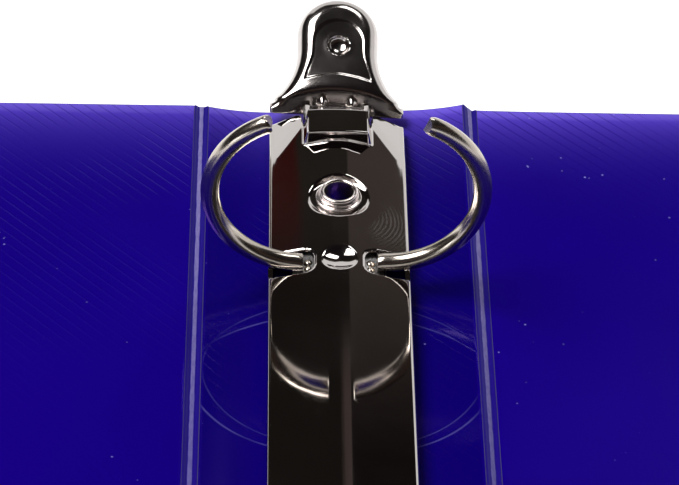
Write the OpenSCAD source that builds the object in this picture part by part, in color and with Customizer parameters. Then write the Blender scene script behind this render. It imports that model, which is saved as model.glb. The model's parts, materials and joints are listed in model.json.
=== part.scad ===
// Three-ring binder: a flexible polypropylene sheet with two living hinges, and an arched
// steel ring mechanism riveted to the spine. It lies open and flat with its rings open.
// +X runs across the spine, +Y along it and +Z up. The origin is under the spine's middle.

/* [Sheet] */
// Length of the covers and the spine, along the spine
sheet_h = 295; // [290:0.1:320]
// Width of each cover, from its hinge line to its free edge
cover_w = 248; // [150:1:280]
// Width of the spine, from hinge line to hinge line
spine_w = 40.2; // [40:0.1:60]
// Thickness of the sheet
sheet_t = 1.2; // [1:0.1:1.6]
// Width of each hinge groove
groove_w = 1.8; // [1.8:0.1:2.6]
// Thickness of the sheet left in the hinge groove
web_t = 0.4; // [0.3:0.05:0.5]
// How far the hinge lines stand above the flat middle of the spine
hinge_lift = 1; // [0:0.1:1.5]
// Radius of the free corners of the covers
corner_r = 6; // [2:1:15]

/* [Rings] */
// Distance between neighbouring rings
ring_pitch = 107.95; // [80:0.05:108]
// Diameter of the ring wire
wire_d = 2.6; // [2.2:0.1:2.8]
// Radius of a ring half, at the middle of the wire
ring_r = 13; // [12.5:0.1:13]
// Height of a closed ring's centre above the spine
ring_z = 14.91; // [14.7:0.01:15]
// How far the two halves of a closed ring have their centres from the middle
ring_x = 0.2; // [0.1:0.01:0.6]
// Distance left between the two tips of a closed ring
tip_gap = 0.14; // [0.1:0.01:0.3]
// Height of the ridge on a right tip, which a groove in the left tip takes
tip_ridge = 0.8; // [0.4:0.1:1]

/* [Housing plate] */
// Length of the plate
plate_l = 283; // [281:1:287]
// Width of the plate over its flanks
plate_w = 20; // [19.8:0.1:21]
// Height of the crown above the spine
crown_h = 5.4; // [5.3:0.1:6]
// Thickness of the plate's steel
plate_t = 0.7; // [0.6:0.05:0.75]
// Radius of the shoulder between crown and flank
shoulder_r = 1.8; // [1.2:0.1:2]
// Rise of the crown between its shoulders
crown_rise = 0.8; // [0.6:0.1:1]
// Slope of the plate's two ends, in degrees
end_slope = 32; // [28:1:36]
// Height of the plate's end edge
end_h = 1.3; // [1.2:0.1:1.6]
// Width of the raised hood over each lever's tongue
hood_w = 9.4; // [9:0.1:10]
// Height of the hood above the spine
hood_h = 7.1; // [7:0.1:7.6]
// Length of each notch that a ring half passes through, along the spine
notch_l = 4.8; // [4:0.1:5.2]

/* [Blades] */
// Thickness of the two hinged blades
blade_t = 0.7; // [0.6:0.05:0.75]
// Inclination of a blade with the rings open, in degrees
open_tilt = 10.5; // [9:0.5:11]
// Inclination of a blade with the rings closed, in degrees
closed_tilt = 12.5; // [11:0.5:12.5]

/* [Levers] */
// Width of a lever over its wings
lever_w = 20; // [18:0.5:22]
// Width of a lever's rounded head
head_w = 11.5; // [10:0.5:13]
// Length of a lever's handle, from its bend to the end of the head
handle_l = 14.5; // [12:0.5:16]
// Thickness of a lever's steel
lever_t = 0.8; // [0.7:0.05:0.9]
// Slope of the handle above the table with the rings open, in degrees
handle_tilt = 24; // [20:1:30]
// Slope of the tongue above the table with the rings open, in degrees
tongue_tilt = 22.8; // [22:0.1:23]
// Diameter of the pin that a lever turns on
pin_d = 1.8; // [1.6:0.1:1.9]
// Radial clearance of a lever on its pin
pin_fit = 0.05; // [0.03:0.01:0.08]

/* [Rivets] */
// Outside diameter of the tubular rivets
rivet_d = 4.8; // [4.4:0.1:5]
// Bore of the tubular rivets
rivet_bore = 4.1; // [3.6:0.1:4.2]
// Diameter of the well in the plate around each rivet
well_d = 8.5; // [8:0.1:9]

/* [Hidden] */
$fn = 96;
slack = 1;                     // how far a cutter runs past the surface that it cuts

// Sheet
hinge_x = spine_w / 2;
hinge_z = hinge_lift + sheet_t / 2;
panel_half = hinge_x - groove_w / 2;
flat_half = 11;                // the spine is flat this far from its middle
web_gap = 0.3;                 // between the web's free edge and the cover
cover_tilt = asin(hinge_lift / cover_w);
bow_steps = 12;

// Housing plate
plate_half = plate_l / 2;
shoulder_x = plate_w / 2 - shoulder_r;
shoulder_z = crown_h - crown_rise - shoulder_r;
crown_r = (shoulder_x * shoulder_x + crown_rise * crown_rise) / (2 * crown_rise);
hem_t = 0.75;                  // the folded-back edge inside each flank
hood_y0 = ring_pitch + 25.5;
hood_y1 = ring_pitch + 31.5;
notch_x = 3.1;                 // inner end of a ring notch
notch_z = 1.2;                 // floor of a ring notch
ring_ys = [-ring_pitch, 0, ring_pitch];
dimple_d = 5.2;
dimple_depth = 0.35;

// Blades
edge_gap = 0.1;                // between a blade's edge and the flank beside it
pivot_x = plate_w / 2 - plate_t - edge_gap - blade_t / 2;
pivot_z = sheet_t + 2.42;
hem_h = pivot_z - sheet_t - blade_t / 2 - edge_gap;
blade_w = pivot_x - 0.15;
blade_half = hood_y0 - 0.95;
finger_w = 1.75;
finger_end = ring_pitch + 30.7;
finger_rise = 0.9;             // the fingers are joggled up to meet the tongues
fork_x = 2.4;                  // where the flattened wire ends begin to lie on a blade
ring_window_l = 3.2;           // opening in a blade that a ring half passes through
rivet_window_x = 3.3;          // a blade leaves out everything inside this, at a rivet
rivet_window_l = 11.2;

// Rings, in the closed position and from a blade's pivot
half_x = pivot_x - ring_x;
half_z = ring_z - (pivot_z - sheet_t);
tip_angle = acos((ring_x - tip_gap / 2) / ring_r);
root_angle = 249.4;

// Levers, from the pin
pin_y = ring_pitch + 34.5;
pin_z = sheet_t + 2.9;
ear_r = 1.75;
ear_gap = 0.3;                 // between a lever's neck and the ears beside it
neck_w = hood_w - 2 * plate_t - 2 * ear_gap;
tongue_reach = 5.2;
tongue_root = 3.3;
channel_h = 1.8;               // the room for the blades' fingers in a tongue
lip_t = 0.5;
riser_foot = [0.9, -1.2];
bend = [2.8, 3.1];
rim_h = 2;

// Rivets
rivet_y = ring_pitch + 13.4;
well_depth = 0.9;
flange_d = 8.4;
flange_t = 0.5;
collar_d = 6.5;
rim_r = 0.33;
rim_z = sheet_t + 5.9;

// ---- Helpers ----

// Extrude an X-Z outline along Y, both ways from the middle
module along_y(length) {
    rotate([90, 0, 0])
        linear_extrude(length, center = true)
            children();
}

// Extrude a Y-Z outline along X, both ways from the middle
module along_x(width) {
    rotate([90, 0, 90])
        linear_extrude(width, center = true)
            children();
}

// A cylinder along X, both ways from the middle
module rod_x(d, width) {
    rotate([0, 90, 0])
        cylinder(d = d, h = width, center = true);
}

// A ring of metal around Z between two heights
module tube(outer, inner, z0, z1) {
    translate([0, 0, z0])
        difference() {
            cylinder(d = outer, h = z1 - z0);
            translate([0, 0, -slack])
                cylinder(d = inner, h = z1 - z0 + 2 * slack);
        }
}

// ---- Sheet ----

function lift(x) = abs(x) <= flat_half ? 0
    : hinge_lift * pow((abs(x) - flat_half) / (hinge_x - flat_half), 2);

module spine_outline() {
    under = [for (i = [-bow_steps:bow_steps]) i / bow_steps * panel_half];
    over = [for (i = [-bow_steps:bow_steps]) -i / bow_steps * panel_half];
    polygon(concat(
        [[-panel_half, lift(panel_half)]],
        [for (x = under) if (abs(x) < panel_half) [x, lift(x)]],
        [[panel_half, lift(panel_half)]],
        [[panel_half, lift(panel_half) + sheet_t]],
        [for (x = over) if (abs(x) < panel_half) [x, lift(x) + sheet_t]],
        [[-panel_half, lift(panel_half) + sheet_t]]
    ));
}

module spine_panel() {
    color([0.09, 0.02, 0.45])
        difference() {
            along_y(sheet_h)
                spine_outline();
            for (end = [-1, 1])
                translate([0, end * rivet_y, 0]) {
                    translate([0, 0, -slack])
                        cylinder(d = rivet_d, h = sheet_t + 2 * slack);
                    translate([0, 0, -slack])
                        cylinder(d = flange_d, h = flange_t + slack);
                }
        }
}

// One web, on the right of the spine
module hinge_web() {
    translate([panel_half, -sheet_h / 2, hinge_z - web_t / 2])
        cube([groove_w - web_gap, sheet_h, web_t]);
}

// One cover, on the right of the spine, with its free corners rounded
module cover() {
    first = groove_w / 2;
    half_h = sheet_h / 2;
    translate([hinge_x, 0, hinge_z])
        rotate([0, cover_tilt, 0])
            translate([0, 0, -sheet_t / 2])
                linear_extrude(sheet_t) {
                    translate([first, -half_h])
                        square([cover_w - corner_r - first, sheet_h]);
                    translate([cover_w - 2 * corner_r, -half_h + corner_r])
                        square([2 * corner_r, sheet_h - 2 * corner_r]);
                    for (end = [-1, 1])
                        translate([cover_w - corner_r, end * (half_h - corner_r)])
                            circle(corner_r);
                }
}

module front_cover() {
    color([0.09, 0.02, 0.45])
        mirror([1, 0, 0])
            cover();
}

module back_cover() {
    color([0.09, 0.02, 0.45])
        cover();
}

module front_hinge_web() {
    color([0.35, 0.3, 0.6])
        mirror([1, 0, 0])
            hinge_web();
}

module back_hinge_web() {
    color([0.35, 0.3, 0.6])
        hinge_web();
}

// ---- Housing plate ----

// Solid outline of the arch, drawn in from its outside by inset
module arch(inset, foot) {
    r = shoulder_r - inset;
    translate([-shoulder_x - r, -foot])
        square([2 * (shoulder_x + r), shoulder_z + foot]);
    translate([-shoulder_x, -foot])
        square([2 * shoulder_x, shoulder_z + r + foot]);
    for (side = [-1, 1])
        translate([side * shoulder_x, shoulder_z])
            circle(r);
    intersection() {
        translate([0, crown_h - crown_r])
            circle(crown_r - inset, $fn = 480);
        translate([-shoulder_x, shoulder_z])
            square([2 * shoulder_x, 2 * shoulder_r]);
    }
}

// Side outline between the two sloped ends, drawn in by inset
module sloped_ends(inset, overshoot) {
    top = crown_h + 1;
    drop = inset / cos(end_slope);
    y_top = plate_half - (top - end_h + drop) / tan(end_slope);
    y_end = plate_half + overshoot;
    z_end = end_h - overshoot * tan(end_slope) - drop;
    polygon([
        [-y_end, -overshoot], [-y_end, z_end], [-y_top, top],
        [y_top, top], [y_end, z_end], [y_end, -overshoot]
    ]);
}

module plate_block(inset, overshoot) {
    intersection() {
        along_y(plate_l + 2 * overshoot)
            arch(inset, overshoot);
        along_x(plate_w + 2)
            sloped_ends(inset, overshoot);
    }
}

module plate_shell() {
    difference() {
        plate_block(0, 0);
        plate_block(plate_t, 0.5);
    }
    hem_x = plate_w / 2 - plate_t;
    for (side = [-1, 1])
        translate([side * (hem_x - hem_t / 2), 0, hem_h / 2])
            cube([hem_t, 2 * blade_half, hem_h], center = true);
}

// Raised hood and the two ears behind it, at the top end
module hood() {
    wall = hood_w / 2 - plate_t / 2;
    hood_floor = crown_h - plate_t;
    translate([-hood_w / 2, hood_y0, hood_floor])
        cube([hood_w, hood_y1 - hood_y0, hood_h - hood_floor]);
    for (side = [-1, 1])
        translate([side * wall, pin_y, pin_z - sheet_t]) {
            rod_x(2 * ear_r, plate_t);
            translate([-plate_t / 2, hood_y0 + 2 - pin_y, -ear_r])
                cube([plate_t, pin_y - hood_y0 - 2, 2 * ear_r]);
        }
}

module hood_void() {
    inner = hood_w - 2 * plate_t;
    start = hood_y0 + plate_t;
    translate([-inner / 2, start, -slack])
        cube([inner, pin_y + 2 * ear_r - start, hood_h - plate_t + slack]);
}

// The cut that a ring half passes through, on the right of the plate
module ring_notch() {
    middle = notch_x + notch_l / 2;
    translate([middle, 0, notch_z])
        cylinder(d = notch_l, h = crown_h);
    translate([middle, -notch_l / 2, notch_z])
        cube([plate_w / 2, notch_l, crown_h]);
}

// The pressed cup around a rivet
module well() {
    cup_floor = crown_h - well_depth - plate_t;
    translate([0, 0, cup_floor])
        cylinder(d = well_d + 2 * plate_t, h = well_depth + plate_t / 2);
}

module well_void() {
    translate([0, 0, crown_h - well_depth])
        cylinder(d = well_d, h = 2 * slack);
    cylinder(d = rivet_d, h = crown_h);
}

// The round press mark between two ring notches
module dimple() {
    r = (pow(dimple_d / 2, 2) + pow(dimple_depth, 2)) / (2 * dimple_depth);
    translate([0, 0, crown_h - dimple_depth + r])
        sphere(r, $fn = 200);
}

module housing_plate() {
    color([0.3, 0.26, 0.24])
        translate([0, 0, sheet_t])
            difference() {
                union() {
                    plate_shell();
                    for (end = [0, 1])
                        mirror([0, end, 0]) {
                            hood();
                            translate([0, rivet_y, 0])
                                well();
                        }
                }
                for (end = [0, 1])
                    mirror([0, end, 0]) {
                        hood_void();
                        translate([0, rivet_y, 0])
                            well_void();
                        translate([0, pin_y, pin_z - sheet_t])
                            rod_x(pin_d, hood_w + 2);
                    }
                for (y = ring_ys)
                    translate([0, y, 0]) {
                        ring_notch();
                        mirror([1, 0, 0])
                            ring_notch();
                        dimple();
                    }
            }
}

// ---- Blades and rings, drawn from the pivot of the left blade at no tilt ----

module on_left_pivot() {
    translate([-pivot_x, 0, pivot_z])
        rotate([0, -open_tilt, 0])
            children();
}

module on_right_pivot() {
    mirror([1, 0, 0])
        on_left_pivot()
            children();
}

module blade_outline() {
    difference() {
        translate([0, -blade_half])
            square([blade_w, 2 * blade_half]);
        for (end = [-1, 1])
            translate([rivet_window_x, end * rivet_y - rivet_window_l / 2])
                square([blade_w, rivet_window_l]);
        for (y = ring_ys)
            translate([-slack, y - ring_window_l / 2])
                square([fork_x + slack, ring_window_l]);
    }
}

// The joggled finger that reaches into a lever's tongue, at the top end
module finger() {
    half_t = blade_t / 2;
    step_y = hood_y0 + 1;
    step_l = 0.7;
    translate([blade_w - finger_w / 2, 0, 0])
        along_x(finger_w)
            polygon([
                [blade_half - 1, -half_t],
                [step_y + 0.3, -half_t],
                [step_y + 0.3 + step_l, finger_rise - half_t],
                [finger_end, finger_rise - half_t],
                [finger_end, finger_rise + half_t],
                [step_y + step_l, finger_rise + half_t],
                [step_y, half_t],
                [blade_half - 1, half_t]
            ]);
}

module blade() {
    translate([0, 0, -blade_t / 2])
        linear_extrude(blade_t)
            blade_outline();
    difference() {
        rotate([90, 0, 0])
            cylinder(d = blade_t, h = 2 * blade_half, center = true);
        for (y = ring_ys)
            translate([0, y, 0])
                cube([2 * slack, ring_window_l, 2 * slack], center = true);
    }
    for (end = [0, 1])
        mirror([0, end, 0])
            finger();
}

// Plan of what lies beyond the tip of a ring half in the closed position. A right half keeps
// a pointed ridge, and a left half loses the groove that takes it.
module beyond_tip(ridge) {
    half = wire_d / 2 + 0.2;
    grow = ridge ? 0 : 0.12;
    tooth = [[0, -half - grow], [tip_ridge + grow, 0], [0, half + grow]];
    if (ridge)
        difference() {
            translate([0, -wire_d])
                square([3 * wire_d, 2 * wire_d]);
            polygon(tooth);
        }
    else {
        translate([0, -wire_d])
            square([3 * wire_d, 2 * wire_d]);
        mirror([1, 0])
            polygon(tooth);
    }
}

// A ring half in the closed position, from the pivot, for the left side of the binder
module closed_half(ridge) {
    past_tip = 8;
    tall = 3 * wire_d;
    difference() {
        translate([half_x, 0, half_z])
            rotate([90, 0, 0])
                rotate([0, 0, tip_angle - past_tip])
                    rotate_extrude(angle = root_angle - tip_angle + past_tip)
                        translate([ring_r, 0])
                            circle(d = wire_d, $fn = 48);
        translate([pivot_x - tip_gap / 2, 0, half_z + ring_r - tall / 2])
            linear_extrude(tall)
                beyond_tip(ridge);
    }
}

module ring_half(ridge) {
    difference() {
        rotate([0, -closed_tilt, 0])
            closed_half(ridge);
        translate([fork_x, -wire_d, -blade_t / 2])
            cube([wire_d, 2 * wire_d, blade_t]);
    }
}

module left_blade() {
    color([0.45, 0.44, 0.42])
        on_left_pivot()
            blade();
}

module right_blade() {
    color([0.45, 0.44, 0.42])
        on_right_pivot()
            blade();
}

module ring_left(y) {
    color([0.72, 0.69, 0.66])
        on_left_pivot()
            translate([0, y, 0])
                ring_half(false);
}

module ring_right(y) {
    color([0.72, 0.69, 0.66])
        on_right_pivot()
            translate([0, y, 0])
                ring_half(true);
}

// ---- Levers, drawn from the pin of the top lever ----

module on_top_pin() {
    translate([0, pin_y, pin_z])
        children();
}

module on_bottom_pin() {
    mirror([0, 1, 0])
        on_top_pin()
            children();
}

// Bell-shaped outline of the handle, with its bend along X and its head towards +Y
module bell(inset) {
    head_r = head_w / 2;
    head_y = handle_l - head_r;
    flare_r = (lever_w - head_w) / 2;
    translate([0, head_y])
        circle(head_r - inset);
    translate([-head_r + inset, 0])
        square([head_w - 2 * inset, head_y]);
    difference() {
        translate([-lever_w / 2 + inset, 0])
            square([lever_w - 2 * inset, flare_r - inset]);
        for (side = [-1, 1])
            translate([side * (head_r + flare_r), flare_r])
                circle(flare_r + inset);
    }
}

module handle() {
    boss_y = handle_l - head_w / 2;
    boss_r = 4.5;
    translate([0, bend[0], bend[1]])
        rotate([handle_tilt, 0, 0])
            difference() {
                translate([0, 0, -rim_h])
                    linear_extrude(rim_h + lever_t / 2)
                        bell(0);
                translate([0, 0, -rim_h - slack])
                    linear_extrude(rim_h + slack - lever_t / 2)
                        bell(lever_t);
                translate([0, -lever_t, -rim_h - slack])
                    cube([neck_w, 4 * lever_t, rim_h * 2], center = true);
                translate([0, boss_y, lever_t / 2 + boss_r - 0.45])
                    sphere(boss_r);
            }
}

module riser() {
    rise = bend - riser_foot;
    angle = atan2(rise[1], rise[0]);
    translate([0, riser_foot[0], riser_foot[1]])
        rotate([angle, 0, 0])
            translate([-lever_w / 2, 0, -lever_t / 2])
                cube([lever_w, norm(rise), lever_t]);
}

module neck() {
    along_x(neck_w)
        polygon([[-1, 1.4], [-1, -1.4], riser_foot, bend, [1.5, 2.6]]);
}

module tongue() {
    half_h = channel_h / 2 + lip_t;
    rotate([-tongue_tilt, 0, 0])
        difference() {
            translate([-neck_w / 2, -tongue_reach, -half_h])
                cube([neck_w, tongue_reach, 2 * half_h]);
            translate([-neck_w, -tongue_reach - slack, -channel_h / 2])
                cube([2 * neck_w, tongue_reach + slack - tongue_root, channel_h]);
        }
}

module lever() {
    color([0.5, 0.46, 0.43])
        difference() {
            union() {
                handle();
                riser();
                neck();
                tongue();
                rod_x(3, neck_w);
            }
            rod_x(pin_d + 2 * pin_fit, lever_w + 2);
            for (side = [-1, 1])
                translate([side * (neck_w / 2 + 0.7), 0, 0])
                    rod_x(2 * (ear_r + ear_gap), 1.4);
        }
}

module top_lever() {
    on_top_pin()
        lever();
}

module bottom_lever() {
    on_bottom_pin()
        lever();
}

module lever_pin() {
    color([0.6, 0.58, 0.55])
        rod_x(pin_d, hood_w + 0.4);
}

module top_lever_pin() {
    on_top_pin()
        lever_pin();
}

module bottom_lever_pin() {
    on_bottom_pin()
        lever_pin();
}

// ---- Rivets ----

module on_rivet(end) {
    translate([0, end * rivet_y, 0])
        children();
}

module rivet() {
    color([0.75, 0.73, 0.7]) {
        difference() {
            union() {
                cylinder(d = flange_d, h = flange_t);
                cylinder(d = rivet_d, h = rim_z);
                translate([0, 0, rim_z])
                    rotate_extrude()
                        translate([rivet_bore / 2 + rim_r, 0])
                            circle(rim_r, $fn = 32);
            }
            translate([0, 0, -slack])
                cylinder(d = rivet_bore, h = rim_z + 2 * slack);
        }
    }
}

module rivet_sleeve() {
    color([0.5, 0.48, 0.46])
        tube(collar_d, rivet_d, sheet_t, sheet_t + crown_h - well_depth - plate_t);
}

module rivet_collar() {
    base = sheet_t + crown_h - well_depth;
    step = base + 0.6;
    color([0.6, 0.58, 0.55]) {
        tube(collar_d, rivet_d, base, step);
        tube(collar_d - 0.8, rivet_d, step, rim_z - rim_r);
    }
}

module top_rivet() {
    on_rivet(1)
        rivet();
}

module bottom_rivet() {
    on_rivet(-1)
        rivet();
}

module top_rivet_sleeve() {
    on_rivet(1)
        rivet_sleeve();
}

module bottom_rivet_sleeve() {
    on_rivet(-1)
        rivet_sleeve();
}

module top_rivet_collar() {
    on_rivet(1)
        rivet_collar();
}

module bottom_rivet_collar() {
    on_rivet(-1)
        rivet_collar();
}

// ---- Assembly ----

spine_panel();
front_cover();
back_cover();
front_hinge_web();
back_hinge_web();
housing_plate();
left_blade();
right_blade();
ring_left(ring_pitch);  // top_ring_left
ring_left(0);  // middle_ring_left
ring_left(-ring_pitch);  // bottom_ring_left
ring_right(ring_pitch);  // top_ring_right
ring_right(0);  // middle_ring_right
ring_right(-ring_pitch);  // bottom_ring_right
top_lever();
bottom_lever();
top_lever_pin();
bottom_lever_pin();
top_rivet();
bottom_rivet();
top_rivet_sleeve();
bottom_rivet_sleeve();
top_rivet_collar();
bottom_rivet_collar();
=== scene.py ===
"""Looks of the three-ring binder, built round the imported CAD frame.

Shapes are worked out in millimetres in the frame's own axes: +X across the spine, +Y along it
towards the top lever, +Z up. They become Blender meshes in metres at the last step.
"""

import json
import math

import bmesh
import bpy
import numpy as np
from mathutils import Matrix, Vector


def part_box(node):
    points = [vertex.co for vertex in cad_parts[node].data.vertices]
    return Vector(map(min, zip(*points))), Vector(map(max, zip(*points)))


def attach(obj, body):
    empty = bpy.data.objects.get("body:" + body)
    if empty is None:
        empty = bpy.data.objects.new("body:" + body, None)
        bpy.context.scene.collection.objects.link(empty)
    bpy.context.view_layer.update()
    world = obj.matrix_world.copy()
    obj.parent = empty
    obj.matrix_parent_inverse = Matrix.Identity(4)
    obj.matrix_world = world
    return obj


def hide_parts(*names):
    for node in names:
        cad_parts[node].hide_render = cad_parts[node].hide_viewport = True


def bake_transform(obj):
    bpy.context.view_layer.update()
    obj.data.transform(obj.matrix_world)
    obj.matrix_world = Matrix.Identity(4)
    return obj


MM = 0.001

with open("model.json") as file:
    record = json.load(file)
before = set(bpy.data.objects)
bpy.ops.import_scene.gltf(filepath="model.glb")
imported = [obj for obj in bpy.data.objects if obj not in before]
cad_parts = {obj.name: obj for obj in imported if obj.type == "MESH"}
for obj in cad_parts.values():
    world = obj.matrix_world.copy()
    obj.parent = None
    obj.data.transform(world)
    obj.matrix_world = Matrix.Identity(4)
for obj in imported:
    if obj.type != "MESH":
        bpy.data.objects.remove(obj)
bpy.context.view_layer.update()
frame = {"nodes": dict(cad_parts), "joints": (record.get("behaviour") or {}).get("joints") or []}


# ---------------- places read from the frame

def low(node):
    """Lowest corner of a CAD node, in millimetres."""
    return np.array(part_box(node)[0]) / MM


def high(node):
    """Highest corner of a CAD node, in millimetres."""
    return np.array(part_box(node)[1]) / MM


def middle(node):
    """Middle of a CAD node's box, in millimetres."""
    return (low(node) + high(node)) / 2


def joint_place(name):
    """A point on a joint's axis, in millimetres."""
    joint = next(j for j in frame["joints"] if j["name"] == name)
    return np.array(joint["pos_m"]) / MM


DECK = low("top_rivet_sleeve")[2]            # top of the spine's flat middle
RING_Y = middle("top_ring_left")[1]
RINGS_Y = (RING_Y, 0.0, -RING_Y)
RIVET_Y = middle("top_rivet")[1]
SHEET_HALF = high("spine_panel")[1]
SPINE_EDGE = high("spine_panel")[0]
HINGE = joint_place("back_cover_hinge")
PIN = joint_place("top_lever_pivot")
PIVOT = joint_place("right_blade_pivot")
SHEET_T = DECK
COVER_INNER = low("back_cover")[0]
COVER_OUTER = high("back_cover")[0]


# ---------------- small mathematics

def smooth(edge0, edge1, x):
    """0 before edge0, 1 after edge1, and smooth between them."""
    t = np.clip((x - edge0) / (edge1 - edge0), 0, 1)
    return t * t * (3 - 2 * t)


def soft_min(a, b, k):
    """The smaller of a and b, rounded over a width k where they meet."""
    h = np.clip(0.5 + 0.5 * (b - a) / k, 0, 1)
    return b + (a - b) * h - k * h * (1 - h)


def soft_max(a, b, k):
    """The larger of a and b, rounded over a width k where they meet."""
    return -soft_min(-a, -b, k)


def round_over(distance, radius):
    """How far a surface drops near its edge when that edge is rounded to radius."""
    d = np.clip(distance, 0, radius)
    return radius - np.sqrt(np.maximum(radius**2 - (radius - d) ** 2, 0))


def box_distance(x, y, half_x, half_y, radius):
    """Signed distance to a rounded rectangle round the origin, negative inside."""
    qx = np.abs(x) - (half_x - radius)
    qy = np.abs(y) - (half_y - radius)
    outside = np.hypot(np.maximum(qx, 0), np.maximum(qy, 0))
    return outside + np.minimum(np.maximum(qx, qy), 0) - radius


def lines(*stretches):
    """Grid lines through stretches of (start, end, step), sorted, without near repeats."""
    values = np.concatenate([
        np.linspace(a, b, max(2, int(round((b - a) / step)) + 1)) for a, b, step in stretches
    ])
    values = np.unique(np.round(values, 4))
    nearest = 0.03
    return values[np.append(True, np.diff(values) > nearest)]


# ---------------- meshes

def make_object(name, vertices, faces, materials, sharp):
    """A smooth-shaded mesh object from millimetre vertices. Edges over sharp degrees are sharp."""
    mesh = bpy.data.meshes.new(name)
    mesh.from_pydata((np.asarray(vertices, float) * MM).tolist(), [], faces)
    mesh.validate()
    mesh.shade_smooth()
    if sharp is not None:
        mesh.set_sharp_from_angle(angle=math.radians(sharp))
    for material in materials:
        mesh.materials.append(material)
    obj = bpy.data.objects.new(name, mesh)
    bpy.context.scene.collection.objects.link(obj)
    return obj


def mirrored(vertices, faces, axis):
    """The mirror image of a mesh across the plane through the origin, faces still outwards."""
    flipped = np.array(vertices, float)
    flipped[:, axis] *= -1
    return flipped, [tuple(reversed(f)) for f in faces]


def joined(*parts):
    """Several (vertices, faces) pairs as one."""
    vertices, faces, start = [], [], 0
    for v, f in parts:
        vertices.append(np.asarray(v, float))
        faces.extend(tuple(i + start for i in face) for face in f)
        start += len(v)
    return np.concatenate(vertices), faces


def band(upper, lower):
    """Four-sided faces between two closed loops of point numbers."""
    return np.stack([np.roll(upper, -1), upper, lower, np.roll(lower, -1)], -1).tolist()


def fan(loop, centre):
    """Three-sided faces between a closed loop of point numbers and one more point."""
    return [(a, centre, b) for a, b in zip(loop.tolist(), np.roll(loop, -1).tolist())]


def grid_faces(rows, columns, start=0, flip=False):
    """Four-sided faces over a grid of points, which are numbered row by row from start."""
    n = start + np.arange(rows * columns).reshape(rows, columns)
    quads = np.stack([n[:-1, :-1], n[1:, :-1], n[1:, 1:], n[:-1, 1:]], -1).reshape(-1, 4)
    return (quads[:, ::-1] if flip else quads).tolist()


def grid_loop(rows, columns):
    """Numbers of the points round such a grid, in order."""
    n = np.arange(rows * columns).reshape(rows, columns)
    return np.concatenate([n[:, 0], n[-1, 1:], n[-2::-1, -1], n[0, -2:0:-1]])


def revolved(profile, centre, segments):
    """A closed (radius, height) profile turned round a vertical axis through centre."""
    turns = np.arange(segments) * 2 * math.pi / segments
    vertices = np.array([
        [centre[0] + r * math.cos(a), centre[1] + r * math.sin(a), z]
        for a in turns for r, z in profile
    ])
    rings = np.arange(len(vertices)).reshape(segments, -1)
    return vertices, [face for i in range(segments) for face in band(rings[i - 1], rings[i])]


def arc(centre, radius, start, end, steps):
    """Points on an arc, from start to end in degrees."""
    angles = np.radians(np.linspace(start, end, steps))
    return [(centre[0] + radius * math.cos(a), centre[1] + radius * math.sin(a)) for a in angles]


def bevelled(bm, edges, width, segments):
    """A bmesh as (vertices, faces), with some of its edges rounded."""
    bmesh.ops.bevel(bm, geom=edges, offset=width, segments=segments, affect="EDGES",
                    profile=0.5, clamp_overlap=True)
    bm.verts.index_update()
    out = np.array([v.co[:] for v in bm.verts]), [tuple(v.index for v in f.verts) for f in bm.faces]
    bm.free()
    return out


def block(lo, hi, bevel):
    """A box between two corners with rounded edges."""
    bm = bmesh.new()
    bmesh.ops.create_cube(bm, size=1.0)
    bmesh.ops.scale(bm, vec=Vector(np.subtract(hi, lo)), verts=bm.verts)
    bmesh.ops.translate(bm, vec=Vector(np.add(hi, lo) / 2), verts=bm.verts)
    return bevelled(bm, bm.edges[:], bevel, 3)


def extruded_x(outline, x0, x1, bevel):
    """A (y, z) outline, anticlockwise from +X, made solid between x0 and x1, edges bevelled."""
    bm = bmesh.new()
    near = [bm.verts.new((x1, y, z)) for y, z in outline]
    far = [bm.verts.new((x0, y, z)) for y, z in outline]
    bm.faces.new(near)
    bm.faces.new(far[::-1])
    for i in range(len(outline)):
        bm.faces.new((near[i - 1], far[i - 1], far[i], near[i]))
    rims = [e for e in bm.edges if abs(e.verts[0].co.x - e.verts[1].co.x) < 1e-6]
    return bevelled(bm, rims, bevel, 2)


def pressed_sheet(us, vs, distance, place, thickness):
    """A sheet-metal pressing, as (vertices, faces).

    us and vs are the grid lines of its flat pattern. distance(u, v) is positive on the metal,
    in millimetres from its outline. place(u, v) gives the outer surface. The grid is snapped
    to the outline, and the inner surface lies thickness under the outer one.
    """
    u, v = np.meshgrid(us, vs, indexing="ij")
    reach = 0.55 * np.minimum(np.gradient(us)[:, None], np.gradient(vs)[None, :])
    tiny = 1e-3
    for _ in range(2):
        d = distance(u, v)
        slope_u = (distance(u + tiny, v) - distance(u - tiny, v)) / (2 * tiny)
        slope_v = (distance(u, v + tiny) - distance(u, v - tiny)) / (2 * tiny)
        length = np.maximum(slope_u**2 + slope_v**2, 0.25)
        near = np.abs(d) < reach
        u = np.where(near, u - d * slope_u / length, u)
        v = np.where(near, v - d * slope_v / length, v)
    inside = (distance(u, v) > -1e-3).reshape(-1)

    outer = place(u, v)
    du = (place(u + tiny, v) - place(u - tiny, v)) / (2 * tiny)
    dv = (place(u, v + tiny) - place(u, v - tiny)) / (2 * tiny)
    normal = np.cross(du, dv)
    normal /= np.maximum(np.linalg.norm(normal, axis=-1, keepdims=True), 1e-9)
    inner = outer - normal * thickness

    faces = [[k for k in face if inside[k]] for face in grid_faces(*u.shape)]
    faces = [face for face in faces if len(face) >= 3]
    border = {}
    for face in faces:
        for a, b in zip(face, face[1:] + face[:1]):
            if border.pop((b, a), None) is None:
                border[(a, b)] = True
    faces += [[u.size + k for k in reversed(face)] for face in faces]
    faces += [(b, a, u.size + a, u.size + b) for a, b in border]
    vertices = np.concatenate([outer.reshape(-1, 3), inner.reshape(-1, 3)])
    used = sorted({k for face in faces for k in face})
    new = {old: k for k, old in enumerate(used)}
    return vertices[used], [tuple(new[k] for k in face) for face in faces]


# ---------------- materials

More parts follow.
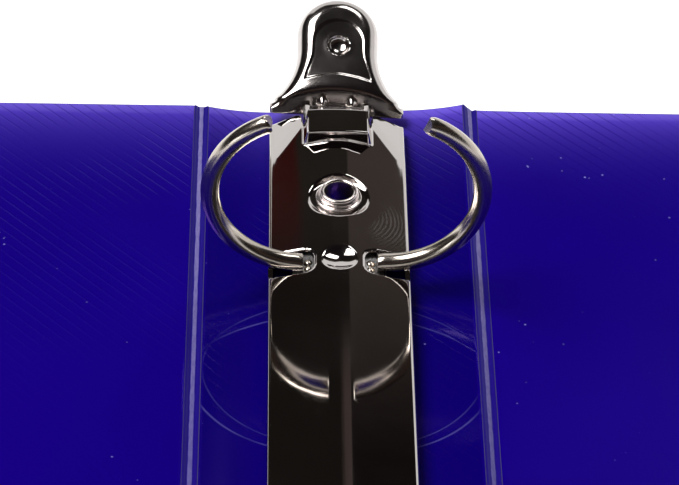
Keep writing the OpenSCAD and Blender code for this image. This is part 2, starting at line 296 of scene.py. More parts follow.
def new_material(name):
    """An empty node material, with its Principled shader."""
    material = bpy.data.materials.new(name)
    material.use_nodes = True
    return material, material.node_tree, material.node_tree.nodes["Principled BSDF"]


def put(tree, socket, value):
    """Links another node's output to a socket, or sets the socket to a constant."""
    if isinstance(value, bpy.types.NodeSocket):
        tree.links.new(value, socket)
    else:
        socket.default_value = value


def feed(tree, made, **inputs):
    """Feeds a node's inputs, named by socket with _ for a space, and its own settings."""
    for key, value in inputs.items():
        socket = made.inputs.get(key.replace("_", " "))
        if socket is None:
            setattr(made, key, value)
        else:
            put(tree, socket, value)
    return made


def node(tree, kind, **inputs):
    """A new shader node, fed with inputs."""
    return feed(tree, tree.nodes.new(kind), **inputs)


def maths(tree, operation, a, b=0.0, clamp=False):
    """One arithmetic node, as its output socket."""
    made = node(tree, "ShaderNodeMath", operation=operation, use_clamp=clamp)
    put(tree, made.inputs[0], a)
    put(tree, made.inputs[1], b)
    return made.outputs[0]


def plus(tree, a, b):
    """The sum of a and b."""
    return maths(tree, "ADD", a, b)


def minus(tree, a, b):
    """a less b."""
    return maths(tree, "SUBTRACT", a, b)


def times(tree, *values):
    """The product of all values."""
    product = values[0]
    for value in values[1:]:
        product = maths(tree, "MULTIPLY", product, value)
    return product


def vector_maths(tree, operation, vector, by):
    """One arithmetic node on a vector and three constants, axis by axis."""
    made = node(tree, "ShaderNodeVectorMath", operation=operation)
    put(tree, made.inputs[0], vector)
    put(tree, made.inputs[1], by)
    return made.outputs[0]


def mapped(tree, value, lo, hi, to_lo=0.0, to_hi=1.0):
    """value from lo..hi to to_lo..to_hi, smoothly and clamped."""
    made = node(tree, "ShaderNodeMapRange", interpolation_type="SMOOTHSTEP", Value=value,
                From_Min=lo, From_Max=hi, To_Min=to_lo, To_Max=to_hi)
    return made.outputs["Result"]


def mixed(tree, factor, a, b):
    """Colour a where factor is 0 and b where it is 1."""
    made = node(tree, "ShaderNodeMix", data_type="RGBA")
    for number, value in ((0, factor), (6, a), (7, b)):
        put(tree, made.inputs[number], value)
    return made.outputs[2]


def noise(tree, vector, scale, detail=2.0, roughness=0.5):
    """Noise of one scale, or with a scale for each axis."""
    if isinstance(scale, tuple):
        vector = vector_maths(tree, "MULTIPLY", vector, scale)
        scale = 1.0
    return node(tree, "ShaderNodeTexNoise", Vector=vector, Scale=scale, Detail=detail,
                Roughness=roughness).outputs["Fac"]


def place_nodes(tree):
    """The piece's own coordinates, in metres, as (vector, x, y, z) sockets."""
    vector = tree.nodes.new("ShaderNodeTexCoord").outputs["Object"]
    return vector, *node(tree, "ShaderNodeSeparateXYZ", Vector=vector).outputs


def bumped(tree, shader, height, distance, under=None):
    """Feeds height to the shader's normal as a bump of distance metres, over the bump under."""
    made = node(tree, "ShaderNodeBump", Height=height, Distance=distance, Strength=1.0)
    if under is not None:
        tree.links.new(under, made.inputs["Normal"])
    tree.links.new(made.outputs["Normal"], shader.inputs["Normal"])
    return made.outputs["Normal"]


def elliptic(tree, x, y, centre, radii):
    """Distance from centre as a share of an ellipse's radii. All are in metres."""
    across = maths(tree, "DIVIDE", minus(tree, x, centre[0]), radii[0])
    along = maths(tree, "DIVIDE", minus(tree, y, centre[1]), radii[1])
    return maths(tree, "SQRT", plus(tree, times(tree, across, across), times(tree, along, along)))


def reflection_band(tree, x, y, centre, radii, width):
    """A faint elliptical band round centre, as a mask: a painted reflection."""
    off = maths(tree, "ABSOLUTE", minus(tree, elliptic(tree, x, y, centre, radii), 1.0))
    return mapped(tree, off, width * 0.3, width, 1.0, 0.0)


def cluster(tree, x, y, centre, radius):
    """1 near centre and 0 past radius."""
    return mapped(tree, elliptic(tree, x, y, centre, (radius, radius)), 0.0, 1.0, 1.0, 0.0)


def sheet_material():
    """Saturated indigo polypropylene, finely embossed with diagonal lines, with light specks, painted
    reflection arcs of the rings, painted shade on the spine and a painted glow along the cut edges.
    """
    material, tree, shader = new_material("indigo_polypropylene")
    vector, x, y, _ = place_nodes(tree)

    phase = maths(tree, "FRACT", times(tree, plus(tree, x, y), math.sqrt(0.5) / LINE_PERIOD))
    valley = maths(tree, "ABSOLUTE", minus(tree, phase, 0.5))
    line = times(tree, mapped(tree, valley, 0.0, 0.14, 1.0, 0.0),
                 mapped(tree, noise(tree, vector, 60.0, 3.0), 0.3, 0.6))

    dots = node(tree, "ShaderNodeTexVoronoi", Vector=vector, Scale=900.0)
    gathered = cluster(tree, x, y, (27 * MM, 136 * MM), 12 * MM)
    chance = plus(tree, noise(tree, vector, 330.0, 1.0), times(tree, gathered, 0.12))
    specks = times(tree, mapped(tree, dots.outputs["Distance"], 0.10, 0.2, 1.0, 0.0),
                   mapped(tree, chance, 0.68, 0.72))

    # painted reflection: two faint arcs where the rings' mirror image lies on the spine, painted
    # lighter into the sheet's colour
    first = reflection_band(tree, x, y, (0.0, 88 * MM), (20.6 * MM, 13.9 * MM), 0.013)
    second = reflection_band(tree, x, y, (0.4 * MM, 90 * MM), (19.3 * MM, 14.6 * MM), 0.010)
    patchy = mapped(tree, noise(tree, vector, 70.0), 0.42, 0.6)
    on_spine = mapped(tree, maths(tree, "ABSOLUTE", x), SPINE_EDGE * MM, SPINE_EDGE * MM - 0.0008)
    ring_reflection = times(tree, plus(tree, first, times(tree, second, 0.6)), patchy, on_spine)
    # light specks and the painted ring reflection share one lighter colour
    specks_and_reflection = maths(tree, "ADD", times(tree, specks, 0.8), times(tree, ring_reflection, 0.2), clamp=True)

    to_end = minus(tree, SHEET_HALF * MM, maths(tree, "ABSOLUTE", y))
    to_side = minus(tree, COVER_OUTER * MM, maths(tree, "ABSOLUTE", x))
    to_cut = maths(tree, "MINIMUM", to_end, to_side)
    glow = maths(tree, "EXPONENT", times(tree, to_cut, -1 / GLOW_REACH))
    unlined = minus(tree, 1.0, times(tree, line, 0.55))
    glow = maths(tree, "MULTIPLY", glow, unlined, clamp=True)

    cloudy = noise(tree, vector, 14.0, 3.0)
    base = mixed(tree, mapped(tree, cloudy, 0.3, 0.7), SHEET_DEEP, SHEET_BRIGHT)
    base = mixed(tree, on_spine, base, SHEET_SHADED)
    base = mixed(tree, glow, base, SHEET_GLOW)
    base = mixed(tree, specks_and_reflection, base, SHEET_SPECKS_AND_REFLECTION)
    rough = mapped(tree, noise(tree, vector, 25.0, 3.0), 0.3, 0.7, 0.10, 0.14)
    feed(tree, shader, Base_Color=base, Roughness=plus(tree, rough, times(tree, specks_and_reflection, 0.2)),
         Specular_IOR_Level=0.42, Specular_Tint=SHEET_SHINE)

    peel = bumped(tree, shader, noise(tree, vector, 900.0), 0.000003)
    bumped(tree, shader, minus(tree, 1.0, line), 0.000008, under=peel)
    return material


def edge_material():
    """The cut edge of the sheet, where no embossing lightens it."""
    material, tree, shader = new_material("cut_sheet_edge")
    vector, *_ = place_nodes(tree)
    base = mixed(tree, noise(tree, vector, 700.0), (0.002, 0.0, 0.045, 1), (0.006, 0.001, 0.09, 1))
    feed(tree, shader, Base_Color=base, Roughness=0.45)
    bumped(tree, shader, noise(tree, vector, 2500.0), 0.00002)
    return material


def crease_material():
    """Polypropylene whitened by bending: pale lavender in the fold, blue at its sides."""
    material, tree, shader = new_material("stress_whitened_crease")
    vector, x, y, _ = place_nodes(tree)
    from_fold = maths(tree, "ABSOLUTE", minus(tree, maths(tree, "ABSOLUTE", x), HINGE[0] * MM))
    wander = minus(tree, noise(tree, vector, (200.0, 400.0, 200.0), 4.0), 0.5)
    edge = plus(tree, from_fold, times(tree, wander, 0.00022))
    flecks = noise(tree, vector, (2500.0, 900.0, 2500.0), 3.0)
    white = times(tree, mapped(tree, edge, 0.00022, 0.00034, 1.0, 0.0),
                  mapped(tree, flecks, 0.3, 0.7, 0.72, 1.0), mapped(tree, y, 0.06, 0.14, 0.55, 1.0))
    feed(tree, shader, Base_Color=mixed(tree, white, SHEET_DEEP, (0.20, 0.18, 0.40, 1)),
         Roughness=mapped(tree, white, 0.0, 1.0, 0.35, 0.5), Specular_IOR_Level=0.25,
         Specular_Tint=SHEET_SHINE)
    bumped(tree, shader, times(tree, noise(tree, vector, 1800.0, 3.0), white), 0.00002)
    return material


def steel_material(name, tint, rough_lo, rough_hi, prints=0.0):
    """Bright nickel plate: nearly a mirror, with faint smears, prints and hairlines."""
    material, tree, shader = new_material(name)
    vector, x, y, _ = place_nodes(tree)
    smear = mapped(tree, noise(tree, vector, 55.0, 4.0, 0.6), 0.35, 0.7, rough_lo, rough_hi)
    if prints:
        whorl = (1.5 * MM, (RIVET_Y - 4.0) * MM, DECK * MM)
        ridges = node(tree, "ShaderNodeTexWave", wave_type="RINGS", rings_direction="Z",
                      Vector=vector_maths(tree, "SUBTRACT", vector, whorl), Scale=560.0,
                      Distortion=3.5, Detail=2.0, Detail_Scale=0.35)
        touched = cluster(tree, x, y, (5.8 * MM, (RIVET_Y - 5.0) * MM), 9.0 * MM)
        patchy = mapped(tree, noise(tree, vector, 160.0), 0.35, 0.6)
        smear = plus(tree, smear, times(tree, ridges.outputs["Fac"], touched, patchy, prints))
    dull = tuple(c * 0.86 for c in tint[:3]) + (1,)
    feed(tree, shader, Base_Color=mixed(tree, noise(tree, vector, 80.0, 3.0), dull, tint),
         Roughness=smear, Metallic=1.0)
    ripple = bumped(tree, shader, noise(tree, vector, 330.0), 0.0000035)
    hair = noise(tree, vector, (5000.0, 260.0, 5000.0))
    bumped(tree, shader, hair, 0.0000006, under=ripple)
    return material


def blade_material():
    """Plain spring steel of the hidden blades and pins, lightly brushed along the spine."""
    material, tree, shader = new_material("spring_steel")
    vector, *_ = place_nodes(tree)
    grain = noise(tree, vector, (4000.0, 120.0, 4000.0), 3.0)
    base = mixed(tree, grain, (0.28, 0.27, 0.27, 1), (0.46, 0.45, 0.44, 1))
    feed(tree, shader, Base_Color=base, Roughness=mapped(tree, grain, 0.3, 0.7, 0.22, 0.4),
         Metallic=1.0)
    bumped(tree, shader, grain, 0.000004)
    return material


def floor_material():
    """Plain pale studio floor."""
    material, tree, shader = new_material("studio_floor")
    vector, *_ = place_nodes(tree)
    base = mixed(tree, noise(tree, vector, 3.0), (0.44, 0.44, 0.44, 1), (0.46, 0.46, 0.46, 1))
    feed(tree, shader, Base_Color=base, Roughness=0.9, Specular_IOR_Level=0.1,
         Emission_Color=(1.0, 1.0, 1.0, 1.0), Emission_Strength=0.92)
    return material


SHEET_DEEP = (0.0058, 0.0, 0.165, 1)
SHEET_BRIGHT = (0.0076, 0.0002, 0.205, 1)
SHEET_SHADED = (0.0036, 0.0, 0.125, 1)       # the spine, which the mechanism keeps from the light
SHEET_GLOW = (0.115, 0.065, 0.60, 1)         # light that enters through the cut edges
# colour of the light specks and of the painted reflection of the rings on the spine
SHEET_SPECKS_AND_REFLECTION = (0.2, 0.18, 0.6, 1)
SHEET_SHINE = (0.3, 0.12, 1.0, 1.0)           # tint of its highlights
GLOW_REACH = 0.0045
LINE_PERIOD = 0.00152                        # between the embossed lines

SHEET = sheet_material()
EDGE = edge_material()
CREASE = crease_material()
PLATED = steel_material("nickel_plate", (0.60, 0.56, 0.54, 1), 0.035, 0.075, prints=0.09)
LEVER = steel_material("nickel_plate_lever", (0.55, 0.51, 0.49, 1), 0.12, 0.20)
WIRE = steel_material("nickel_wire", (0.56, 0.50, 0.44, 1), 0.18, 0.27)
RIVET = steel_material("rivet_plate", (0.78, 0.70, 0.67, 1), 0.17, 0.26)
BLADE = blade_material()


# ---------------- the plastic sheet

COVER_LIFT = HINGE[2] - SHEET_T / 2          # underside of the sheet at the hinge lines
FLAT_HALF = 11.0                             # the spine's middle is flat this far out
EDGE_ROUND = 0.22                            # rounding of the cut edges
GROOVE_SLOPE = 0.5                           # width of the hinge groove's sloped sides
HINGE_LAP = 0.12                             # how far a web reaches into its neighbours


def sheet_ripple(x, y):
    """Gentle unevenness of a plastic sheet, never negative, in millimetres."""
    a = np.sin(x / 23.0 + 0.6 * np.sin(y / 41.0)) * np.sin(y / 37.0 + 1.1)
    b = np.sin((x + y) / 61.0 + 0.7) * np.sin((x - 0.6 * y) / 47.0)
    return 0.04 * (1 + a) + 0.05 * (1 + b)


def slab(xs, ys, underside):
    """A thin sheet over a grid, with rounded cut edges: (vertices, faces, material numbers).

    underside(x, y) gives the height of its lower face. The cut edges have material 1.
    """
    def inset(values):
        """Grid lines that end where the rounded edge starts."""
        lo, hi = values[0] + EDGE_ROUND, values[-1] - EDGE_ROUND
        return np.concatenate([[lo], values[(values > lo) & (values < hi)], [hi]])

    x, y = np.meshgrid(inset(xs), inset(ys), indexing="ij")
    under = np.stack([x, y, underside(x, y)], -1).reshape(-1, 3)
    vertices = np.concatenate([under + [0, 0, SHEET_T], under])
    faces = grid_faces(*x.shape) + grid_faces(*x.shape, start=x.size, flip=True)
    slots = [0] * len(faces)

    loop = grid_loop(*x.shape)
    loop_xy = under[loop, :2]
    reach = EDGE_ROUND + 1e-6
    outwards = ((loop_xy > [xs[-1] - reach, ys[-1] - reach]) * 1.0
                - (loop_xy < [xs[0] + reach, ys[0] + reach]))
    outwards /= np.linalg.norm(outwards, axis=1, keepdims=True)
    quarter = [(math.sin(a), EDGE_ROUND * (1 - math.cos(a))) for a in np.radians([30, 60, 90])]
    levels = [(out, SHEET_T - drop) for out, drop in quarter] + quarter[::-1]
    rings = [loop]
    for out, level in levels:
        rings.append(len(vertices) + np.arange(len(loop)))
        xy = loop_xy + outwards * EDGE_ROUND * out
        vertices = np.concatenate([vertices, np.column_stack([xy, underside(*xy.T) + level])])
    rings.append(loop + x.size)
    for upper, lower in zip(rings, rings[1:]):
        faces += band(upper, lower)
    return vertices, faces, slots + [1] * (len(faces) - len(slots))


def spine_underside(x, y):
    """The spine is flat in the middle and curls up to its hinge lines."""
    out = np.maximum(np.abs(x) - FLAT_HALF, 0) / (HINGE[0] - FLAT_HALF)
    return COVER_LIFT * out**2 + 0 * y


def cover_underside(side, sag):
    """Height of a cover's underside: it slopes from its hinge to the table.

    sag lowers the hinge edge a little, mostly at the far end.
    """
    def underside(x, y):
        out = np.clip((side * x - HINGE[0]) / (COVER_OUTER - HINGE[0]), 0, 1)
        slope = COVER_LIFT * (1 - out)
        drop = sag * smooth(60.0, 0.0, side * x - HINGE[0]) * (0.55 + 0.45 * smooth(-40, 130, y))
        ripple = sheet_ripple(x, y) * smooth(2.0, 30.0, side * x - COVER_INNER)
        return np.maximum(slope - drop, 0) + ripple * 0.6
    return underside


def cut_shift(x, y):
    """How far the sheet's far cut wanders along Y: it was not cut quite square."""
    knots = [-60, -22, -19.2, -9.5, 9.5, 19.2, 20.5, 22, 60]
    shift = [-1.0, -0.85, -0.8, -1.0, 0.0, 0.75, 0.1, 0.0, -0.5]
    return np.interp(x, knots, shift) * smooth(SHEET_HALF - 40, SHEET_HALF - 1, y)


def add_sheet(name, node_name, body, xs, ys, underside):
    """One panel of the sheet, embossed on its faces and plain on its cut edges."""
    vertices, faces, slots = slab(xs, ys, underside)
    vertices[:, 1] += cut_shift(vertices[:, 0], vertices[:, 1])
    obj = make_object(name, vertices, faces, [SHEET, EDGE], sharp=None)
    obj.data.polygons.foreach_set("material_index", slots)
    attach(obj, body)
    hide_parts(node_name)


SHEET_YS = lines((-SHEET_HALF, SHEET_HALF, 2.5))
add_sheet("spine_sheet", "spine_panel", "spine",
          lines((-SPINE_EDGE, -FLAT_HALF, 0.6), (-FLAT_HALF, FLAT_HALF, 2.0),
                (FLAT_HALF, SPINE_EDGE, 0.6)),
          SHEET_YS, spine_underside)
RIGHT_SAG = 0.7
cover_xs = lines((COVER_INNER, COVER_INNER + 12, 0.8), (COVER_INNER + 12, COVER_OUTER, 2.5))
add_sheet("back_cover_sheet", "back_cover", "back_cover", cover_xs, SHEET_YS,
          cover_underside(1, RIGHT_SAG))
add_sheet("front_cover_sheet", "front_cover", "front_cover", np.sort(-cover_xs), SHEET_YS,
          cover_underside(-1, 0.0))


def add_hinge(name, node_name, side, cover_drop):
    """The living hinge: a groove with a thin web, which bends between spine and cover."""
    web_half = (high("back_hinge_web")[2] - low("back_hinge_web")[2]) / 2
    lip_half = SHEET_T / 2 - 0.03
    xs = np.array([SPINE_EDGE - HINGE_LAP, SPINE_EDGE, SPINE_EDGE + GROOVE_SLOPE * 0.5,
                   SPINE_EDGE + GROOVE_SLOPE, HINGE[0] - 0.2, HINGE[0], HINGE[0] + 0.2,
                   COVER_INNER - GROOVE_SLOPE, COVER_INNER - GROOVE_SLOPE * 0.5, COVER_INNER,
                   COVER_INNER + HINGE_LAP])
    ys = lines((-SHEET_HALF + 0.05, SHEET_HALF - 0.05, 1.2))
    x, y = np.meshgrid(xs, ys, indexing="ij")
    depth = smooth(0, GROOVE_SLOPE, np.minimum(x - SPINE_EDGE, COVER_INNER - x))
    half = lip_half - (lip_half - web_half) * depth
    frayed = 0.02 * np.sin(y * 2.3 + 3 * np.sin(y * 0.9)) * depth
    drop = cover_drop(x, y) * smooth(SPINE_EDGE, COVER_INNER, x)
    spine_z = spine_underside(x, y) + SHEET_T / 2
    centre = HINGE[2] - drop + frayed + (spine_z - HINGE[2]) * smooth(HINGE[0], SPINE_EDGE, x)
    vertices = np.concatenate([np.stack([side * x, y, z], -1).reshape(-1, 3)
                               for z in (centre + half, centre - half)])
    vertices[:, 1] += cut_shift(vertices[:, 0], vertices[:, 1])
    loop = grid_loop(*x.shape)
    faces = grid_faces(*x.shape) + grid_faces(*x.shape, start=x.size, flip=True)
    faces += band(loop, loop + x.size)
    if side < 0:
        faces = [face[::-1] for face in faces]
    obj = make_object(name, vertices, faces, [CREASE], sharp=60)
    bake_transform(obj)
    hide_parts(node_name)


add_hinge("front_hinge_crease", "front_hinge_web", -1, lambda x, y: 0 * x)
add_hinge("back_hinge_crease", "back_hinge_web", 1,
          lambda x, y: RIGHT_SAG * (0.55 + 0.45 * smooth(-40, 130, y)))


# ---------------- the arched plate

PLATE_HALF_W = 10.0
PLATE_HALF_L = RIVET_Y + 20.15
PLATE_T = 0.7
CROWN = 5.4
SHOULDER_R = 0.6
RIDGE_HALF = 2.4                             # the roof's ridge is rounded this far out
ROOF_LO = math.radians(12.5)                 # slope of the roof beside the ridge
ROOF_HI = math.radians(16.0)                 # and where the shoulder starts
HOOD_TOP = 7.1
HOOD_HALF = 4.7
HOOD_Y = RIVET_Y + 12.1
HOOD_END = RIVET_Y + 18.1
END_SLOPE = math.tan(math.radians(29.0))
END_H = 1.3
NOTCH_X = 3.6
NOTCH_HALF = 2.4
NOTCH_Z = 2.2
WELL_R = 4.25
WELL_DEPTH = 0.9
DIMPLE_R = 2.5
DIMPLE_DEPTH = 0.75
DIMPLE_BALL = (DIMPLE_R**2 + DIMPLE_DEPTH**2) / (2 * DIMPLE_DEPTH)
SECTION_STEP = 0.01
EAR_R = 1.75


def section():
    """The plate's half section: (arc lengths, x, z) from the ridge to the foot of the flank."""
    roof_length = (PLATE_HALF_W - SHOULDER_R * (1 - math.sin(ROOF_HI))) / math.cos(ROOF_LO)
    shoulder_length = SHOULDER_R * (math.pi / 2 - ROOF_HI)
    s = np.arange(0, 16, SECTION_STEP)
    ridge = ROOF_LO * (0.5 - 0.5 * np.cos(np.pi * np.clip(s / RIDGE_HALF, 0, 1)))
    roof = (ROOF_HI - ROOF_LO) * np.clip((s - RIDGE_HALF) / (roof_length - RIDGE_HALF), 0, 1)
    turn = (math.pi / 2 - ROOF_HI) * np.clip((s - roof_length) / shoulder_length, 0, 1)
    slope = ridge + roof + turn
    x = np.cumsum(np.cos(slope)) * SECTION_STEP
    z = CROWN - np.cumsum(np.sin(slope)) * SECTION_STEP
    x *= PLATE_HALF_W / x[-1]
    end = int(np.argmax(z < 0))
    return s[:end], x[:end], z[:end], roof_length, shoulder_length


SECTION_S, SECTION_X, SECTION_Z, ROOF_LENGTH, SHOULDER_LENGTH = section()
ARCH_LENGTH = float(SECTION_S[-1])
SHOULDER_X = PLATE_HALF_W - SHOULDER_R


def arch(s):
    """(x, z) on the plate's section at distance s round it from its ridge."""
    d = np.abs(s)
    x = np.interp(d, SECTION_S, SECTION_X)
    z = np.interp(d, SECTION_S, SECTION_Z) - np.maximum(d - ARCH_LENGTH, 0)
    return np.sign(s) * x, z


def plate_relief(x, y):
    """Height pressed into the plate's crown, before its ends slope down."""
    relief = np.zeros_like(x)
    for ring in RINGS_Y:
        r = np.hypot(x, y - ring)
        ball = np.sqrt(np.maximum(DIMPLE_BALL**2 - r**2, 0)) - DIMPLE_BALL + DIMPLE_DEPTH
        relief -= soft_max(ball, 0 * r, 0.12)
    return relief


def plate_surface(s, y):
    """The plate's outer surface."""
    x, z = arch(s)
    to_end = PLATE_HALF_L - np.abs(y)

    def ceiling(at_x):
        slope = END_H + 2.2 * smooth(4.6, 5.4, at_x) + to_end * END_SLOPE
        corner = END_H + 0.4 + 0.17 * to_end + 0.55 * (SHOULDER_X + 0.1 - at_x)
        return np.maximum(np.minimum(slope, corner), 0.3)

    edge_z = np.interp(SHOULDER_X, SECTION_X, SECTION_Z)
    inner = soft_min(z + plate_relief(x, y), ceiling(np.abs(x)), 0.35)
    outer = z * soft_min(edge_z + 0 * y, ceiling(SHOULDER_X), 0.35) / edge_z
    z = np.where(np.abs(x) > SHOULDER_X, outer, inner)
    for end in (-1, 1):
        flat = smooth(WELL_R + 0.3, WELL_R - 0.3, np.hypot(x, y - end * RIVET_Y))
        z = z * (1 - flat) + (CROWN - WELL_DEPTH) * flat
    hood_top = HOOD_TOP - 0.012 * x**2
    sides = smooth(HOOD_HALF + 0.4, HOOD_HALF - 0.4, np.abs(x))
    near = smooth(HOOD_Y - 0.3, HOOD_Y + 0.3, np.abs(y))
    far = smooth(HOOD_END + 0.3, HOOD_END - 0.7, np.abs(y))
    share = sides * near * far
    z = z * (1 - share) + hood_top * share
    return np.stack([x, y, z + DECK], -1)


def plate_outline(s, y):
    """Distance from the plate's outline, positive on the metal."""
    x, _ = arch(s)
    inside = np.minimum(ARCH_LENGTH - np.abs(s), PLATE_HALF_L - np.abs(y))
    half = (ARCH_LENGTH - NOTCH_Z - NOTCH_X) / 2
    for ring in RINGS_Y:
        d = box_distance(np.abs(s) - NOTCH_X - half, y - ring, half, NOTCH_HALF, 1.7)
        inside = np.minimum(inside, d)
    for end in (-1, 1):
        inside = np.minimum(inside, np.hypot(x, y - end * RIVET_Y) - 2.45)
        mouth = box_distance(x, y - end * (HOOD_END + 10), HOOD_HALF - PLATE_T, 10.0, 0.5)
        inside = np.minimum(inside, mouth)
    return inside


def plate_place(s, y):
    """Outer surface with the sheared edges rolled over."""
    point = plate_surface(s, y)
    roll = round_over(plate_outline(s, y), 0.22)
    x, _ = arch(s)
    lean = np.clip((np.abs(x) - SHOULDER_X) / SHOULDER_R, 0, 1)
    point[..., 2] -= roll * (1 - lean)
    point[..., 0] -= np.sign(x) * roll * lean
    return point


def plate_mesh():
    """The plate, with finer grid lines where its shape changes."""
    shoulder_end = ROOF_LENGTH + SHOULDER_LENGTH
    half = lines((0, RIDGE_HALF, 0.15), (RIDGE_HALF, ROOF_LENGTH, 0.2),
                 (ROOF_LENGTH, shoulder_end, 0.12), (shoulder_end, ARCH_LENGTH, 0.4),
                 (HOOD_HALF - 0.5, HOOD_HALF + 0.5, 0.09))
    windows = [(-PLATE_HALF_L, PLATE_HALF_L, 3.0)]
    windows += [(ring - 3.2, ring + 3.2, 0.19) for ring in RINGS_Y]
    for a, b, step in ((RIVET_Y - 5.2, RIVET_Y + 5.2, 0.19), (HOOD_Y - 0.5, HOOD_Y + 0.5, 0.06),
                       (HOOD_Y + 0.5, HOOD_END, 0.3), (HOOD_END - 8, PLATE_HALF_L, 0.22)):
        windows += [(-b, -a, step), (a, b, step)]
    s_lines = np.concatenate([-half[:0:-1], half])
    return pressed_sheet(s_lines, lines(*windows), plate_outline, plate_place, PLATE_T)


def ear(side, end):
    """One of the two ears behind a hood, which hold the lever's pin."""
    outline = [(HOOD_END - 4.0, PIN[2] - EAR_R), *arc(PIN[1:], EAR_R, -90, 90, 17),
               (HOOD_END - 4.0, PIN[2] + EAR_R)]
    x0, x1 = sorted((side * (HOOD_HALF - PLATE_T), side * HOOD_HALF))
    part = extruded_x(outline, x0, x1, 0.08)
    return part if end > 0 else mirrored(*part, axis=1)


def add_plate():
    """The plate with its four ears."""
    parts = [plate_mesh()] + [ear(side, end) for side in (-1, 1) for end in (-1, 1)]
    obj = make_object("arched_plate", *joined(*parts), [PLATED], sharp=50)
    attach(obj, "spine")
    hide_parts("housing_plate")


add_plate()


# ---------------- rivets and their collars

def add_rivets():
    bore = 2.05
    wall = 2.4
    rim_r = 0.34
    rim_z = DECK + 5.9
    rim_x = bore + rim_r
    outline = [(bore, 0.12), (bore + 0.12, 0.0), (4.1, 0.0), (4.2, 0.1), (4.2, 0.4), (4.1, 0.5),
               (wall, 0.5), (wall, rim_z - rim_r * 0.6)]
    outline += arc((rim_x, rim_z), rim_r, -40, 190, 16)
    outline += [(bore, rim_z - 0.5)]
    base = DECK + CROWN - WELL_DEPTH
    collar = [(2.42, base), (3.3, base)]
    collar += arc((3.12, base + 0.42), 0.18, 0, 90, 6)
    collar += [(2.98, base + 0.6), (2.86, base + 0.64)]
    collar += arc((2.68, rim_z - rim_r - 0.12), 0.14, 0, 90, 5)
    collar += [(2.42, rim_z - rim_r + 0.02)]
    for end, label in ((1, "top"), (-1, "bottom")):
        centre = (0.0, end * RIVET_Y)
        for name, profile, cad in (("rolled_rivet", outline, "rivet"),
                                   ("stepped_collar", collar, "rivet_collar")):
            vertices, faces = revolved(profile, centre, 96)
            obj = make_object(f"{label}_{name}", vertices, faces, [RIVET], sharp=45)
            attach(obj, "spine")
            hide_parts(f"{label}_{cad}")


add_rivets()


# ---------------- ring halves

WIRE_R = 1.3
RING_R = 13.0
OPEN_TILT = math.radians(10.5)
CLOSED_TILT = math.radians(12.5)
RING_X = 0.2
RING_Z = 14.91
RING_CLOSED = np.array([PIVOT[0] - RING_X, 0, RING_Z - (PIVOT[2] - DECK)])   # from the pivot
LEAN = math.radians(2.0)                     # the loose mechanism leans to its right
TIP_GAP = 0.14
TIP_RIDGE = 0.8
TIP = math.acos((RING_X - TIP_GAP / 2) / RING_R)
ROOT_ANGLE = math.radians(249.4)
ROUND_STEPS = 40


def turned(points, angle):
    """(x, z) points turned anticlockwise about the origin."""
    c, s = math.cos(angle), math.sin(angle)
    x, z = points[..., 0], points[..., 1]
    return np.stack([x * c - z * s, x * s + z * c], -1)


def about_pivot(vertices, angle):
    """Points measured from the left blade's pivot, turned about it and put in the frame."""
    xz = turned(vertices[:, [0, 2]], angle)
    return np.column_stack([xz[:, 0] - PIVOT[0], vertices[:, 1], xz[:, 1] + PIVOT[2]])


def on_ring(radius, sideways, angle):
    """Points at a radius and an angle round the ring's centre."""
    return np.stack([radius * np.cos(angle), sideways, radius * np.sin(angle)], -1)


def tip_shift(sideways, ridge):
    """Angle by which the tip face's ridge or groove shifts its points."""
    shape = TIP_RIDGE * (1 - np.abs(sideways) / (WIRE_R + 0.2))
    return (-shape if ridge else shape) / RING_R


def ring_half_mesh(ring_y, ridge):
    """A ring half on the left side, open, as (vertices, faces).

    Its section is swept from the tip to the root, the tip face follows a ridge or a groove,
    and the root is pressed a little flat where it is staked to the blade.
    """
    around = np.arange(ROUND_STEPS) * 2 * math.pi / ROUND_STEPS
    span = ROOT_ANGLE - TIP
    sections = []
    for t in np.concatenate([[0.0, 0.004, 0.010, 0.018], np.linspace(0.03, 1, 110)]):
        shrink = 1 - 0.16 * (1 - min(t / 0.018, 1)) ** 2
        from_root = (1 - t) * span * RING_R
        crimp = 1 - 0.2 * (1 - min(from_root / 1.1, 1)) ** 2
        across = WIRE_R * shrink * crimp * np.cos(around)          # away from the ring's centre
        sideways = WIRE_R * shrink * np.sin(around)                # along the spine
        shift = tip_shift(sideways, ridge) * max(0.0, 1 - t * 14)
        sections.append(on_ring(RING_R + across, sideways, TIP + t * span + shift))
    sections = np.array(sections)

    shares = np.array([0.25, 0.5, 0.75])[:, None, None]
    tip_middle, root_middle = sections[0].mean(0), sections[-1].mean(0)
    x, sideways, z = np.moveaxis(tip_middle + (sections[0] - tip_middle) * shares, -1, 0)
    tip = on_ring(np.hypot(x, z), sideways, TIP + tip_shift(sideways, ridge))
    root = root_middle + (sections[-1] - root_middle) * shares[::-1]
    loops = np.concatenate([tip, sections, root])
    numbers = np.arange(loops[..., 0].size).reshape(-1, ROUND_STEPS)
    faces = [face for a, b in zip(numbers, numbers[1:]) for face in band(b, a)]
    faces += fan(numbers[0], numbers.size) + fan(numbers[-1][::-1], numbers.size + 1)
    ends = [on_ring(RING_R, 0.0, TIP + tip_shift(0.0, ridge)), root_middle]
    vertices = np.concatenate([loops.reshape(-1, 3), ends]) + RING_CLOSED + [0, ring_y, 0]
    return about_pivot(vertices, OPEN_TILT + CLOSED_TILT), faces


def stake_mesh(ring_y):
    """The pressed tabs of the blade that hold the wire's end, on the left side, open."""
    tabs = []
    for off, size in ((-0.75, 0.62), (0.55, 0.7)):
        profile = [(0.02, 0.34), (size * 0.45, 0.3), (size * 0.8, 0.17), (size, -0.05),
                   (size, -0.2), (0.02, -0.2)]
        tabs.append(revolved(profile, (4.55, ring_y + off), 20))
    vertices, faces = joined(*tabs)
    return about_pivot(vertices + [0, 0, 0.36], OPEN_TILT), faces


